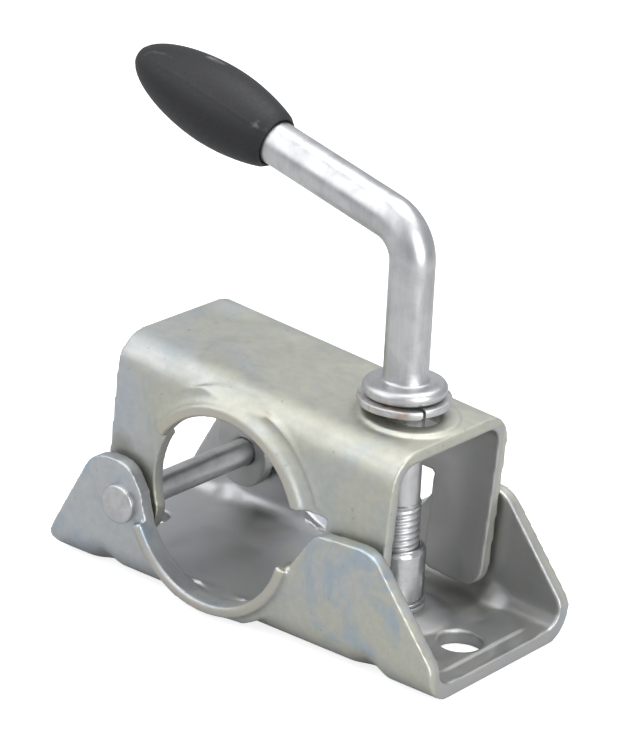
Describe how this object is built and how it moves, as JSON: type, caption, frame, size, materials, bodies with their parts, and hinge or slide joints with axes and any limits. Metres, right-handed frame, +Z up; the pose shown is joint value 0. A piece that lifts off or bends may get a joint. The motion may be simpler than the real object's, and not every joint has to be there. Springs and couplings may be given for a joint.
{
  "type": "tube clamp bracket",
  "caption": "Pressed steel clamp bracket: a hinged jaw and a bent-bar screw lever close a round bore on a tube.",
  "frame": {"origin": "on the axis of the clamped tube, midway across the bracket", "axes": "+Y along the tube; +X from the pivot end to the spindle end; +Z up, away from the mounting face"},
  "size_m": [0.1287, 0.0624, 0.1365],
  "materials": {
    "base_zinc": "zinc plated and passivated, satin",
    "jaw_zinc": "zinc plated and passivated, satin",
    "rivet_zinc": "zinc plated",
    "spindle_zinc": "bright zinc plated",
    "grip_plastic": "moulded, matte, dark charcoal",
    "washer_steel": "yellowish zinc with a touch of rust",
    "sleeve_zinc": "bright zinc plated",
    "ring_zinc": "zinc plated"
  },
  "bodies": {
    "bracket": {"base_bracket": "base_zinc", "pivot_rivet": "rivet_zinc", "threaded_sleeve": "sleeve_zinc", "seat_ring": "ring_zinc"},
    "jaw": {"top_jaw": "jaw_zinc"},
    "washer": {"spring_washer": "washer_steel"},
    "spindle": {"clamp_spindle": "spindle_zinc", "lever_grip": "grip_plastic"}
  },
  "joints": [
    {"name": "lever_turn", "type": "hinge", "parent": "washer", "child": "spindle", "pos_m": [0.0373, 0, 0.04], "axis": [0, 0, 1], "range_deg": [-90, 1440]},
    {"name": "spindle_lift", "type": "slide", "parent": "bracket", "child": "washer", "axis": [0, 0, 1], "range_m": [-0.0005, 0.0071]},
    {"name": "jaw_open", "type": "hinge", "parent": "bracket", "child": "jaw", "pos_m": [-0.031, 0, -0.00725], "axis": [0, -1, 0], "range_deg": [-0.5, 6.4]}
  ],
  "couplings": [
    {"joint": "spindle_lift", "follows": "lever_turn", "m_per_rad": 0.00027852},
    {"joint": "jaw_open", "follows": "lever_turn", "ratio": 0.0042849}
  ]
}
